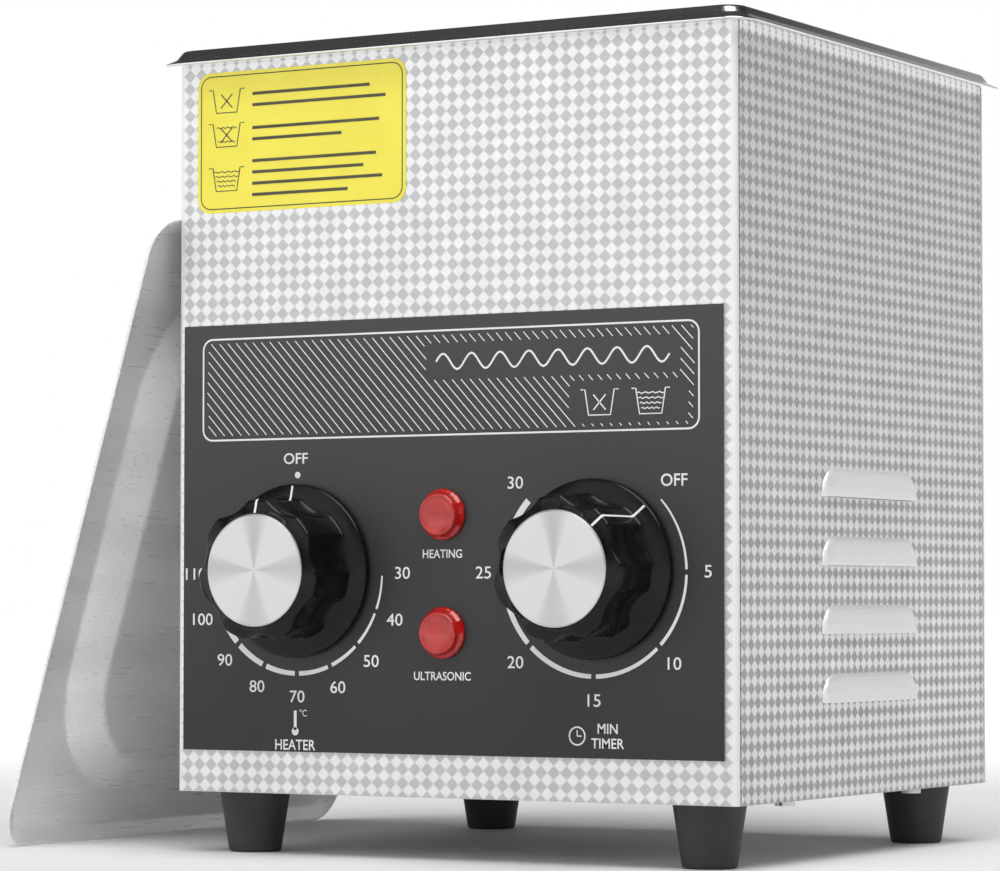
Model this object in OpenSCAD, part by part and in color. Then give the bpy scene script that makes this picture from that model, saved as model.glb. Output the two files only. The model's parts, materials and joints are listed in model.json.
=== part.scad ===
// Two litre ultrasonic cleaner with a heated tank, two dials and a lid leaning on its left wall.
// +Z is up, the front faces -Y, and the origin is on the table under the middle of the whole
// object, lid included. The modules are drawn round the middle of the casing and moved at the end.

/* [Casing] */
// Width of the casing
body_w = 172.2; // [168:0.2:180]
// Depth of the casing
body_d = 158.4; // [154:0.2:166]
// Height of the casing without its feet
body_h = 200; // [190:1:220]
// Thickness of the sheet steel
sheet_t = 0.8; // [0.6:0.1:1]
// Height of the rubber feet
foot_h = 16.8; // [12:0.2:20]
// How far the rim stands out past the casing
rim_overhang = 5.2; // [4:0.1:7]

/* [Tank] */
// Width of the tank inside
tank_w = 151; // [148:0.5:152]
// Depth of the tank from front to back inside
tank_d = 138; // [134:0.5:139]
// Height of the tank inside
tank_h = 100; // [80:1:110]

/* [Controls] */
// Height of both dials above the table
dial_z = 77; // [72:0.5:84]
// Distance of each dial from the middle of the panel
dial_x = 45.8; // [44:0.1:48]
// Turn of the timer pointer at rest, clockwise from straight up
timer_rest = 45; // [0:1:90]

/* [Lid] */
// Length of the lid up the slope
lid_l = 182; // [180:0.5:186]
// Width of the lid
lid_w = 170; // [168:0.5:174]
// Lean of the lid from upright
lid_lean = 16.8; // [14:0.1:20]

/* [Hidden] */

half_w = body_w / 2;
half_d = body_d / 2;
body_top = foot_h + body_h;
steel = [0.78, 0.78, 0.78];
dark = [0.25, 0.25, 0.26];
black = [0.08, 0.08, 0.08];
panel_t = 0.6;
panel_x = -0.7;
panel_size = [166.4, 116.2];
panel_z = 86.3;
face_y = -half_d - panel_t;
heater_at = [panel_x - dial_x, dial_z];
timer_at = [panel_x + dial_x, dial_z];
lamp_at = [[panel_x + 0.3, 91.7], [panel_x + 0.3, 60.4]];
bush_r = 5;
shaft_r = 3;
lamp_body_r = 4.6;
bend_r = 1.2;
seam_gap = 0.9;
side_end = half_d - bend_r - 0.4 - seam_gap;
rim_top = body_top + 4.2;
tank_wall = 1;
tank_r = 17;
tank_floor = rim_top - tank_h;
foot_at = [70.5, 64.2];
inlet_at = [0, 52];
knob_lobes = 7;
knob_top = 21.4;
grip_r = 18.9;
skirt_r = 23.4;
cap_r = 15.1;
louvre_pitch = 18.2;
louvre_z = 96.5;
louvre_half = 29.9;
louvre_r = [2.6, 7.8, 7.8];
standoff_at = [48, 30];
board_z = 26;
board_y = 14;

// A filled rectangle with round corners
module round_rect(w, d, r) {
    square([w - 2 * r, d], center = true);
    square([w, d - 2 * r], center = true);
    for (x = [-1, 1], y = [-1, 1])
        translate([x * (w / 2 - r), y * (d / 2 - r)]) circle(r, $fn = 48);
}

// A round rod along +Y from the origin
module rod_y(r, l) {
    rotate([-90, 0, 0]) cylinder(r = r, h = l, $fn = 64);
}

// A pan head screw along -Z whose head sits on z = 0
module screw(r, l) {
    cylinder(r = 2 * r, h = 1.2 * r, $fn = 32);
    translate([0, 0, -l]) cylinder(r = r, h = l + 0.1, $fn = 32);
}

// A tube swept along a path of points, with flat ends
module tube(path, r, sides = 8) {
    last = len(path) - 1;
    function unit(v) = v / norm(v);
    function along(i) = unit(path[min(i + 1, last)] - path[max(i - 1, 0)]);
    function carried(v, d) = unit(v - d * (v * d));
    function across(i) = carried(i == 0 ? [0.31, 0.4, 0.86] : across(i - 1), along(i));
    rings = [for (i = [0:last], k = [0:sides - 1])
        path[i] + r * (across(i) * cos(360 * k / sides)
            + cross(along(i), across(i)) * sin(360 * k / sides))];
    walls = [for (i = [0:last - 1], k = [0:sides - 1])
        [i * sides + k, i * sides + (k + 1) % sides,
            (i + 1) * sides + (k + 1) % sides, (i + 1) * sides + k]];
    ends = [[for (k = [sides - 1:-1:0]) k], [for (k = [0:sides - 1]) last * sides + k]];
    polyhedron(points = rings, faces = concat(walls, ends), convexity = 6);
}

// Rounds the corners of a path with short curves
function smooth(path, steps = 4) = [
    path[0],
    for (i = [1:len(path) - 2], k = [0:steps])
        let (t = k / steps, a = (path[i - 1] + 2 * path[i]) / 3, b = (path[i + 1] + 2 * path[i]) / 3)
        a * (1 - t) * (1 - t) + path[i] * 2 * t * (1 - t) + b * t * t,
    path[len(path) - 1]
];

// Outline of the front or rear sheet from above, with its outside at y = 0 and its flanges behind
module folded_sheet() {
    translate([-half_w + bend_r, 0]) square([body_w - 2 * bend_r, sheet_t]);
    for (s = [-1, 1]) scale([s, 1]) translate([half_w, 0]) {
        intersection() {
            translate([-bend_r, bend_r]) difference() {
                circle(bend_r, $fn = 48);
                circle(bend_r - sheet_t, $fn = 48);
            }
            translate([-bend_r, 0]) square(bend_r);
        }
        translate([-1.7, bend_r]) square([1.7, 0.4]);
        translate([-1.7, bend_r + 0.4]) square([0.7, 9]);
    }
}

module front_panel() {
    color(steel) difference() {
        translate([0, -half_d, foot_h]) linear_extrude(body_h) folded_sheet();
        for (p = [heater_at, timer_at])
            translate([p[0], -half_d - 1, p[1]]) rod_y(bush_r + 0.1, 3);
        for (p = lamp_at)
            translate([p[0], -half_d - 1, p[1]]) rod_y(lamp_body_r + 0.1, 3);
    }
}

module rear_panel() {
    color(steel) difference() {
        translate([0, half_d, foot_h]) mirror([0, 1, 0]) linear_extrude(body_h) folded_sheet();
        translate([inlet_at[0], half_d, inlet_at[1]]) cube([27.6, 4, 20.2], center = true);
        for (s = [-1, 1])
            translate([inlet_at[0] + 20 * s, half_d - 2, inlet_at[1]]) rod_y(1.6, 4);
    }
}

// One hood of the louvres, as half of a long blister open along its lower edge
module hood(shrink) {
    size = louvre_r - [shrink, shrink, shrink];
    difference() {
        hull() for (s = [-1, 1])
            translate([0, s * (louvre_half - louvre_r[1]), 0]) scale(size) sphere(1, $fn = 28);
        translate([-10, -50, -20]) cube([20, 100, 20]);
    }
}

// A side sheet with its louvres, for the right wall
module side_panel() {
    difference() {
        union() {
            translate([half_w - sheet_t, -side_end, foot_h]) cube([sheet_t, 2 * side_end, body_h]);
            translate([half_w - 11, -side_end + 10, foot_h + 1]) cube([10.5, 2 * side_end - 20, 0.8]);
            for (k = [0:3]) translate([half_w - 0.2, 0, louvre_z - k * louvre_pitch]) hood(0);
        }
        for (k = [0:3]) translate([half_w - 0.2, 0, louvre_z - k * louvre_pitch - 0.01]) hood(0.7);
        translate([half_w - 9, -side_end, foot_h + 1.8]) cube([9 - sheet_t, 2 * side_end, body_h]);
        for (y = [-40, 40]) translate([half_w - 6, y, foot_h]) cylinder(r = 1.3, h = 4, $fn = 32);
    }
}

module right_panel() {
    color(steel) side_panel();
}

module left_panel() {
    color(steel) mirror([1, 0, 0]) side_panel();
}

module bottom_plate() {
    color(steel) difference() {
        translate([-half_w + 1.9, -half_d + 1.8, foot_h]) cube([body_w - 3.8, body_d - 3.6, 1]);
        for (x = [-1, 1], y = [-1, 1])
            translate([x * foot_at[0], y * foot_at[1], foot_h - 1]) cylinder(r = 2.1, h = 3, $fn = 32);
        for (x = [-1, 1], y = [-40, 40])
            translate([x * (half_w - 6), y, foot_h - 1]) cylinder(r = 1.6, h = 3, $fn = 32);
        for (x = [-1, 1], y = [-1, 1])
            translate([x * standoff_at[0], board_y + y * standoff_at[1], foot_h - 1])
                cylinder(r = 1.6, h = 3, $fn = 32);
        for (k = [-5:5]) translate([k * 7 - 1.5, -60, foot_h - 1]) cube([3, 30, 3]);
    }
}

// A tapered rubber foot with a sunk hole for its screw
module foot() {
    top_r = 9.7;
    low_r = 7.3;
    round_r = 1;
    color(black) difference() {
        rotate_extrude($fn = 64) {
            polygon([[0, 0], [low_r - round_r, 0], [low_r, round_r], [top_r, foot_h], [0, foot_h]]);
            translate([low_r - round_r, round_r]) circle(round_r, $fn = 32);
        }
        translate([0, 0, -1]) cylinder(r = 4.4, h = 11, $fn = 32);
        cylinder(r = 2.1, h = foot_h + 1, $fn = 32);
    }
}

module foot_front_left() {
    translate([-foot_at[0], -foot_at[1], 0]) foot();
}

module foot_front_right() {
    translate([foot_at[0], -foot_at[1], 0]) foot();
}

module foot_rear_left() {
    translate([-foot_at[0], foot_at[1], 0]) foot();
}

module foot_rear_right() {
    translate([foot_at[0], foot_at[1], 0]) foot();
}

module foot_screws() {
    color("silver") for (x = [-1, 1], y = [-1, 1])
        translate([x * foot_at[0], y * foot_at[1], 10]) mirror([0, 0, 1]) screw(2, 11);
}

module base_screws() {
    color("silver") for (x = [-1, 1], y = [-40, 40])
        translate([x * (half_w - 6), y, foot_h]) mirror([0, 0, 1]) screw(1.3, 5);
}

// A thin flat slab with the rim's outline, pushed out past the casing
module rim_slab(out, r, z, h) {
    translate([0, 0, z]) linear_extrude(h) round_rect(body_w + 2 * out, body_d + 2 * out, r);
}

module tank() {
    outer_w = tank_w + 2 * tank_wall;
    outer_d = tank_d + 2 * tank_wall;
    channel = 1.6;
    color([0.85, 0.85, 0.86]) difference() {
        union() {
            hull() {
                rim_slab(rim_overhang - 0.3, 7.4, body_top - 0.5, 0.2);
                rim_slab(rim_overhang, 7.4, body_top - 0.2, 0.5);
                rim_slab(2.3, 5.4, body_top + 1.7, 0.1);
            }
            hull() {
                rim_slab(2.3, 5.4, body_top + 1.6, 0.1);
                rim_slab(1.0, 5, rim_top - 0.6, 0.1);
                rim_slab(0.4, 5, rim_top - 0.1, 0.1);
            }
            hull() {
                translate([0, 0, tank_floor - tank_wall]) linear_extrude(0.1)
                    round_rect(outer_w - 16, outer_d - 16, tank_r - 7);
                translate([0, 0, tank_floor + 8]) linear_extrude(tank_h - 9)
                    round_rect(outer_w, outer_d, tank_r);
            }
        }
        hull() {
            translate([0, 0, tank_floor]) linear_extrude(0.1)
                round_rect(tank_w - 16, tank_d - 16, tank_r - 7);
            translate([0, 0, tank_floor + 8]) linear_extrude(tank_h)
                round_rect(tank_w, tank_d, tank_r);
        }
        hull() {
            translate([0, 0, rim_top - 3]) linear_extrude(0.1) round_rect(tank_w, tank_d, tank_r);
            translate([0, 0, rim_top]) linear_extrude(1) round_rect(tank_w + 6, tank_d + 6, tank_r + 3);
        }
        translate([0, 0, body_top - 0.01]) linear_extrude(2.8) difference() {
            round_rect(body_w - 2 * channel, body_d - 2 * channel, 3);
            round_rect(outer_w + 4, outer_d + 4, tank_r + 2);
        }
        translate([0, 0, body_top - 1]) linear_extrude(1) difference() {
            round_rect(body_w, body_d, 1);
            round_rect(outer_w, outer_d, tank_r);
        }
    }
}

module rim_gasket() {
    color([0.85, 0.85, 0.83]) translate([0, 0, body_top - 4]) linear_extrude(6.7) difference() {
        round_rect(body_w - 4.4, body_d - 4.4, 3);
        round_rect(body_w - 8, body_d - 8, 4);
    }
}

module control_panel() {
    color(dark) difference() {
        translate([panel_x - panel_size[0] / 2, face_y, panel_z - panel_size[1] / 2])
            cube([panel_size[0], panel_t, panel_size[1]]);
        for (p = [heater_at, timer_at])
            translate([p[0], face_y - 1, p[1]]) rod_y(bush_r + 0.1, 3);
        for (p = lamp_at)
            translate([p[0], face_y - 1, p[1]]) rod_y(lamp_body_r + 0.1, 3);
    }
}

module caution_label() {
    color("gold") translate([-46.2, -half_d, 194.8]) rotate([90, 0, 0]) linear_extrude(0.15)
        round_rect(67.4, 38.8, 4);
}

// Knob with a wide skirt and a fluted grip, its back at z = 0 and its pointer along +Y
module knob() {
    flute_r = 9;
    flute_out = grip_r + flute_r - 1.75;
    difference() {
        rotate_extrude($fn = 128) polygon([[0, 0.8], [skirt_r - 0.6, 0.8], [skirt_r, 1.4],
            [skirt_r, 2.7], [skirt_r - 0.5, 3.1], [grip_r, 4.3], [0, 4.3]]);
        translate([0, 0, -1]) cylinder(r = 9, h = 4, $fn = 64);
        cylinder(r = shaft_r, h = 12, $fn = 64);
    }
    difference() {
        rotate_extrude($fn = 128) polygon([[0, 4.2], [grip_r, 4.2], [grip_r, knob_top - 1.3],
            [grip_r - 0.5, knob_top - 0.8], [cap_r, knob_top], [0, knob_top]]);
        for (k = [0:knob_lobes - 1]) rotate(360 * (k + 0.5) / knob_lobes)
            translate([0, flute_out, 4.3]) cylinder(r = flute_r, h = 20, $fn = 64);
        translate([0, 0, knob_top - 0.9]) cylinder(r = cap_r - 0.1, h = 2, $fn = 128);
        cylinder(r = shaft_r, h = 12, $fn = 64);
    }
}

// Thin spun metal disc pressed into the front of a knob
module knob_cap() {
    rotate_extrude($fn = 128) polygon([[0, knob_top - 0.9], [cap_r - 0.1, knob_top - 0.9],
        [cap_r - 0.1, knob_top + 0.1], [cap_r - 0.5, knob_top + 0.3], [0, knob_top + 0.3]]);
}

// Places a dial's own parts on the panel, turned clockwise from straight up
module on_dial(at, turn) {
    translate([at[0], -half_d, at[1]]) rotate([0, turn, 0]) rotate([90, 0, 0]) children();
}

module heater_knob() {
    color(black) on_dial(heater_at, 0) knob();
}

module heater_knob_cap() {
    color("silver") on_dial(heater_at, 0) knob_cap();
}

module timer_knob() {
    color(black) on_dial(timer_at, timer_rest) knob();
}

module timer_knob_cap() {
    color("silver") on_dial(timer_at, timer_rest) knob_cap();
}

// Steel spindle that turns in a control's bush and holds its knob
module spindle() {
    translate([0, 0, -14]) cylinder(r = shaft_r, h = 26, $fn = 64);
}

module heater_shaft() {
    color("silver") on_dial(heater_at, 0) spindle();
}

module timer_shaft() {
    color("silver") on_dial(timer_at, timer_rest) spindle();
}

// Boxed control behind the front sheet, with a round bush that its spindle turns in
module control_body(w, h, deep) {
    difference() {
        union() {
            translate([-w / 2, -h / 2, -deep - sheet_t]) cube([w, h, deep]);
            translate([0, 0, -sheet_t - 0.1]) cylinder(r = bush_r, h = sheet_t + 2.9, $fn = 64);
        }
        translate([0, 0, -14.5]) cylinder(r = shaft_r + 0.05, h = 30, $fn = 64);
    }
}

module thermostat_body() {
    color([0.85, 0.83, 0.78]) on_dial(heater_at, 0) control_body(34, 34, 20);
}

module timer_body() {
    color([0.75, 0.72, 0.6]) on_dial(timer_at, 0) control_body(44, 44, 28);
}

// Hexagon nut that clamps a control's bush to the panel
module bush_nut() {
    difference() {
        translate([0, 0, panel_t]) cylinder(r = 8, h = 1.8, $fn = 6);
        cylinder(r = bush_r, h = 4, $fn = 64);
    }
}

module heater_bush_nut() {
    color("silver") on_dial(heater_at, 0) bush_nut();
}

module timer_bush_nut() {
    color("silver") on_dial(timer_at, 0) bush_nut();
}

bulb_y = tank_d / 2 + tank_wall + 3.2;

module thermostat_bulb() {
    color("peru") translate([-35, bulb_y, tank_floor + 15]) rotate([0, 90, 0])
        cylinder(r = 3, h = 70, $fn = 48);
}

module thermostat_capillary() {
    color("peru") tube(smooth([[heater_at[0], -half_d + 21, dial_z - 8], [heater_at[0], -45, dial_z - 8],
        [-62, -20, 92], [-68, 20, 98], [-60, 60, 104], [-50, bulb_y, 120], [-45, bulb_y, tank_floor + 15],
        [-35.2, bulb_y, tank_floor + 15]]), 0.8);
}

module bulb_clip() {
    color("silver") for (x = [-25, 25]) translate([x - 5, 0, tank_floor + 15]) rotate([0, 90, 0])
        translate([0, bulb_y, 0]) difference() {
            cylinder(r = 3.9, h = 10, $fn = 48);
            translate([0, 0, -1]) cylinder(r = 3.05, h = 12, $fn = 48);
            translate([-5, -5, -1]) cube([10, 1.8, 12]);
        }
}

// Flat topped red lens that tapers out to a flange on the panel
module lamp_lens() {
    rotate_extrude($fn = 64) polygon([[0, panel_t], [6.9, panel_t], [6.9, 1.3], [6.6, 1.7],
        [5.6, 3.9], [5.2, 4.3], [0, 4.3]]);
}

module lamp_body() {
    translate([0, 0, -22]) cylinder(r = lamp_body_r, h = 22 + panel_t, $fn = 64);
}

module heating_lamp_lens() {
    color("red") on_dial(lamp_at[0], 0) lamp_lens();
}

module ultrasonic_lamp_lens() {
    color("red") on_dial(lamp_at[1], 0) lamp_lens();
}

module heating_lamp_body() {
    color("white") on_dial(lamp_at[0], 0) lamp_body();
}

module ultrasonic_lamp_body() {
    color("white") on_dial(lamp_at[1], 0) lamp_body();
}

module lamp_nuts() {
    color("silver") for (p = lamp_at) on_dial(p, 0) translate([0, 0, -sheet_t - 1.6]) difference() {
        cylinder(r = 7, h = 1.6, $fn = 6);
        translate([0, 0, -1]) cylinder(r = lamp_body_r, h = 4, $fn = 64);
    }
}

module heater_pad() {
    color("darkorange") translate([-50, -tank_d / 2 - tank_wall - 1.5, tank_floor + 14])
        cube([100, 1.5, 50]);
}

stack_z = tank_floor - tank_wall;

module transducer_front_mass() {
    color("silver") translate([0, 0, stack_z - 20]) difference() {
        cylinder(r1 = 17, r2 = 22.5, h = 20, $fn = 64);
        translate([0, 0, -1]) cylinder(r = 4, h = 15, $fn = 48);
    }
}

module piezo_rings() {
    color("dimgray") for (k = [0, 1]) translate([0, 0, stack_z - 25.2 - k * 5.3]) difference() {
        cylinder(r = 17, h = 5, $fn = 64);
        translate([0, 0, -1]) cylinder(r = 6, h = 7, $fn = 48);
    }
}

module piezo_electrodes() {
    color("peru") for (k = [0, 1]) translate([0, 0, stack_z - 20.2 - k * 5.3]) difference() {
        union() {
            cylinder(r = 16.5, h = 0.2 + 0.1 * k, $fn = 64);
            translate([14, -2, 0]) cube([8, 4, 0.2 + 0.1 * k]);
        }
        translate([0, 0, -1]) cylinder(r = 6, h = 3, $fn = 48);
    }
}

module transducer_back_mass() {
    color("slategray") translate([0, 0, stack_z - 48.5]) difference() {
        cylinder(r = 17, h = 18, $fn = 64);
        translate([0, 0, -1]) cylinder(r = 4.2, h = 20, $fn = 48);
    }
}

module transducer_bolt() {
    color("dimgray") translate([0, 0, stack_z - 48.5]) {
        translate([0, 0, -6]) cylinder(r = 8, h = 6, $fn = 6);
        cylinder(r = 4, h = 42, $fn = 48);
    }
}

module driver_board() {
    color("darkgreen") difference() {
        translate([-54, board_y - 36, board_z]) cube([108, 72, 1.6]);
        for (x = [-1, 1], y = [-1, 1])
            translate([x * standoff_at[0], board_y + y * standoff_at[1], board_z - 1])
                cylinder(r = 1.6, h = 4, $fn = 32);
    }
}

module board_standoffs() {
    color("gold") for (x = [-1, 1], y = [-1, 1])
        translate([x * standoff_at[0], board_y + y * standoff_at[1], foot_h + 1]) difference() {
            cylinder(r = 3, h = board_z - foot_h - 1, $fn = 6);
            translate([0, 0, -1]) cylinder(r = 1.5, h = 12, $fn = 32);
        }
}

module board_screws() {
    color("silver") for (x = [-1, 1], y = [-1, 1])
        translate([x * standoff_at[0], board_y + y * standoff_at[1], board_z + 1.6]) screw(1.5, 5);
}

module heatsink() {
    color("silver") translate([-44, board_y - 20, board_z + 1.6]) {
        cube([4, 40, 24]);
        for (k = [0:4]) translate([-6, 1 + k * 9, 0]) cube([6.1, 2, 24]);
    }
}

module power_transistors() {
    color(black) for (y = [-12, 4])
        translate([-39.9, board_y + y, board_z + 6]) cube([4.6, 9, 15]);
}

module output_toroid() {
    color("goldenrod") translate([-8, board_y + 8, board_z + 1.7 + 6]) rotate_extrude($fn = 64)
        translate([11, 0]) circle(6, $fn = 32);
}

module film_capacitors() {
    color("firebrick") for (k = [0:2])
        translate([16 + k * 11, board_y - 20, board_z + 1.7]) cube([8, 22, 14]);
}

module power_inlet() {
    color(black) translate([inlet_at[0], half_d, inlet_at[1]]) difference() {
        union() {
            translate([-13.6, -19, -9.9]) cube([27.2, 19.1, 19.8]);
            translate([-25, 0, -11.5]) cube([50, 3, 23]);
        }
        translate([-12.3, -15, -8.3]) cube([24.6, 20, 16.6]);
        for (s = [-1, 1]) translate([20 * s, -1, 0]) rod_y(1.6, 6);
        pin_blades();
    }
}

// The three flat pins of the inlet, measured from its place on the rear sheet
module pin_blades() {
    for (p = [[-7, -2], [7, -2], [0, 2]])
        translate([p[0] - 1, -25, p[1] - 2]) cube([2, 23.5, 4]);
}

module inlet_pins() {
    color("silver") translate([inlet_at[0], half_d, inlet_at[1]]) pin_blades();
}

module inlet_screws() {
    color("silver") for (s = [-1, 1])
        translate([inlet_at[0] + 20 * s, half_d + 3, inlet_at[1]]) rotate([-90, 0, 0]) screw(1.5, 9);
}

module mains_lead() {
    color("brown") for (s = [-1, 1])
        tube(smooth([[s * 7, half_d - 25.3, inlet_at[1] - 2], [s * 7, 45, inlet_at[1] - 2],
            [s * 7, 45, board_z + 1.8]]), 1.4);
}

module transducer_leads() {
    color("crimson") for (k = [0, 1])
        tube(smooth([[22.2, k * 2 - 1, stack_z - 20.1 - k * 5.3], [27, k * 5 - 2.5, stack_z - 22 - k * 5],
            [32, k * 5 - 9, 70], [30, k * 5 - 11, 55], [30 + k, k * 5 - 18, board_z + 1.8]]), 0.9);
}

module earth_stud() {
    color("silver") translate([66, 20, foot_h + 1]) {
        cylinder(r = 2, h = 12, $fn = 32);
        cylinder(r = 4, h = 3, $fn = 6);
    }
}

lid_drop = 3.4;
lid_wall = 0.8;
lid_flare = 3.4;
lid_corner = 10.5;
lid_gap = 0.35;
well_drop = 7.5;
well_slope = 9.5;
well_size = [152, 140];
well_corner = 38;
boss_r = 38;
lid_y = -89 + lid_w / 2;
lid_foot_x = -half_w - lid_gap - lid_l * sin(lid_lean);
reach_left = -lid_foot_x - lid_flare * sin(lid_lean) + lid_drop * cos(lid_lean);
reach_right = half_w + rim_overhang;
reach_front = half_d + knob_top + 0.3;
reach_rear = half_d + rim_overhang;

// Moves a sub-part from the middle of the casing to the middle of the whole object
module in_frame() {
    translate([(reach_left - reach_right) / 2, (reach_front - reach_rear) / 2, 0]) children();
}

// Puts lid shapes, drawn upside down with the table edge at x = 0, into the leaning place
module leaning() {
    translate([lid_foot_x, lid_y, 0.03]) rotate([0, lid_lean - 90, 0]) mirror([0, 0, 1])
        translate([lid_l / 2, 0, 0]) children();
}

// Solid block with the outside of the lid, open side up; skin shifts it to make the inside
module lid_block(skin) {
    hull() {
        translate([0, 0, -lid_drop - 0.01 + skin]) linear_extrude(0.02)
            round_rect(lid_l - 2 * lid_flare - 2 * skin, lid_w - 2 * lid_flare - 2 * skin, lid_corner - 3);
        translate([0, 0, skin]) linear_extrude(0.02)
            round_rect(lid_l - 1.2 * skin, lid_w - 1.2 * skin, lid_corner);
    }
}

// The pressed well as a block that stands up from the plate, grown by skin
module well_block(skin) {
    base = -lid_drop + lid_wall;
    hull() {
        translate([0, 0, base - 3]) linear_extrude(3)
            round_rect(well_size[0] + 2 * skin, well_size[1] + 2 * skin, well_corner + skin);
        translate([0, 0, base + well_drop - lid_wall + skin]) linear_extrude(0.02)
            round_rect(well_size[0] - 2 * well_slope + 2 * skin,
                well_size[1] - 2 * well_slope + 2 * skin, well_corner - well_slope + skin);
    }
}

module lid_shell() {
    floor_z = -lid_drop + well_drop;
    color([0.85, 0.85, 0.86]) leaning() difference() {
        union() {
            difference() {
                lid_block(0);
                lid_block(lid_wall);
            }
            well_block(0);
        }
        translate([0, 0, -lid_drop - 5]) linear_extrude(5 - 0.02) square(400, center = true);
        difference() {
            translate([0, 0, -lid_wall]) well_block(-0.4);
            translate([0, 0, floor_z - 3]) cylinder(r1 = boss_r - 2, r2 = boss_r - 1, h = 2, $fn = 96);
        }
        translate([0, 0, floor_z - 1]) cylinder(r = boss_r - 2, h = 2, $fn = 96);
        for (s = [-1, 1]) translate([0, 30 * s, -5]) cylinder(r = 2.1, h = 20, $fn = 32);
    }
}

// Bail handle that stands in the well on the outside of the lid
module lid_handle() {
    rise = 20;
    seat = -lid_drop + well_drop - 3;
    color(black) leaning() translate([0, 0, seat]) {
        for (s = [-1, 1]) translate([0, 30 * s, -rise]) difference() {
            cylinder(r = 5, h = rise, $fn = 48);
            translate([0, 0, rise - 10]) cylinder(r = 2, h = 12, $fn = 32);
        }
        translate([0, -34, -rise]) rotate([-90, 0, 0]) cylinder(r = 5, h = 68, $fn = 48);
    }
}

module lid_handle_screws() {
    color("silver") leaning() for (s = [-1, 1])
        translate([0, 30 * s, -lid_drop + well_drop - 1]) screw(2, 9);
}

in_frame() front_panel();
in_frame() rear_panel();
in_frame() left_panel();
in_frame() right_panel();
in_frame() bottom_plate();
in_frame() foot_front_left();
in_frame() foot_front_right();
in_frame() foot_rear_left();
in_frame() foot_rear_right();
in_frame() foot_screws();
in_frame() base_screws();
in_frame() tank();
in_frame() rim_gasket();
in_frame() control_panel();
in_frame() caution_label();
in_frame() heater_knob();
in_frame() heater_knob_cap();
in_frame() heater_shaft();
in_frame() thermostat_body();
in_frame() heater_bush_nut();
in_frame() thermostat_bulb();
in_frame() thermostat_capillary();
in_frame() bulb_clip();
in_frame() timer_knob();
in_frame() timer_knob_cap();
in_frame() timer_shaft();
in_frame() timer_body();
in_frame() timer_bush_nut();
in_frame() heating_lamp_lens();
in_frame() heating_lamp_body();
in_frame() ultrasonic_lamp_lens();
in_frame() ultrasonic_lamp_body();
in_frame() lamp_nuts();
in_frame() heater_pad();
in_frame() transducer_front_mass();
in_frame() piezo_rings();
in_frame() piezo_electrodes();
in_frame() transducer_back_mass();
in_frame() transducer_bolt();
in_frame() driver_board();
in_frame() board_standoffs();
in_frame() board_screws();
in_frame() heatsink();
in_frame() power_transistors();
in_frame() output_toroid();
in_frame() film_capacitors();
in_frame() power_inlet();
in_frame() inlet_pins();
in_frame() inlet_screws();
in_frame() mains_lead();
in_frame() transducer_leads();
in_frame() earth_stud();
in_frame() lid_shell();
in_frame() lid_handle();
in_frame() lid_handle_screws();
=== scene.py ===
# Looks of a two litre ultrasonic cleaner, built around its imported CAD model.
# Every length is in metres in the CAD frame: +Z up, the control panel faces -Y.
import json
import math

import bpy
from mathutils import Matrix, Vector


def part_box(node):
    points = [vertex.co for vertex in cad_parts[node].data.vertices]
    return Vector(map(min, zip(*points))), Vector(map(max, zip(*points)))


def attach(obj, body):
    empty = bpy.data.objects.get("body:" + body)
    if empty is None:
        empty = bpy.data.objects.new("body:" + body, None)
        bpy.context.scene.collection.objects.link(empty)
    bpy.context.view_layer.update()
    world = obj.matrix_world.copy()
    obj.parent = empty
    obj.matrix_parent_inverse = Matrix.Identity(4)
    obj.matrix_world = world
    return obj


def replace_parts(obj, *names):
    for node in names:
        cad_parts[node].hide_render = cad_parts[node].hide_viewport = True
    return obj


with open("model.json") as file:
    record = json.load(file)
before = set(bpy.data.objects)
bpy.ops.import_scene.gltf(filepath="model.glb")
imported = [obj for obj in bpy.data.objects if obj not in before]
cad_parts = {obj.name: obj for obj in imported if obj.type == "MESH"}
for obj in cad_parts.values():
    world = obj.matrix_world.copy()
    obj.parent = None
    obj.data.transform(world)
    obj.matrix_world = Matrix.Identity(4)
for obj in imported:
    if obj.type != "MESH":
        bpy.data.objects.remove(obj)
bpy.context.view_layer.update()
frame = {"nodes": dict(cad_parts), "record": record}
nodes = frame["nodes"]
joints = {j["name"]: j for j in frame["record"]["behaviour"]["joints"]}

MM = 0.001
TAU = 2 * math.pi

# ---------------------------------------------------------------- places taken from the frame
shell_low, shell_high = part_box("front_panel")
HALF_W = (shell_high.x - shell_low.x) / 2
FRONT_Y = shell_low.y
BODY_TOP = shell_high.z
REAR_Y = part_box("rear_panel")[1].y
HALF_D = (REAR_Y - FRONT_Y) / 2
CASING = Vector(((shell_low.x + shell_high.x) / 2, (FRONT_Y + REAR_Y) / 2, 0))
panel_low, panel_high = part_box("control_panel")
PANEL_Y = panel_low.y
PANEL_X = (panel_low.x + panel_high.x) / 2
label_low, label_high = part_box("caution_label")
LABEL_Y = label_low.y
HEATER = Vector(joints["heater_turn"]["pos_m"])
TIMER = Vector(joints["timer_turn"]["pos_m"])
rim_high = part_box("tank")[1]
INK_LIFT = 0.05 * MM
TIMER_REST = 45


# ---------------------------------------------------------------- node helpers
def new_material(name):
    """An empty node material and its Principled shader."""
    m = bpy.data.materials.new(name)
    m.use_nodes = True
    shader = next(n for n in m.node_tree.nodes if n.type == "BSDF_PRINCIPLED")
    return m, m.node_tree, shader


def link(tree, a, b):
    tree.links.new(a, b)


def add(tree, kind, **settings):
    node = tree.nodes.new("ShaderNode" + kind)
    for key, value in settings.items():
        setattr(node, key, value)
    return node


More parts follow.
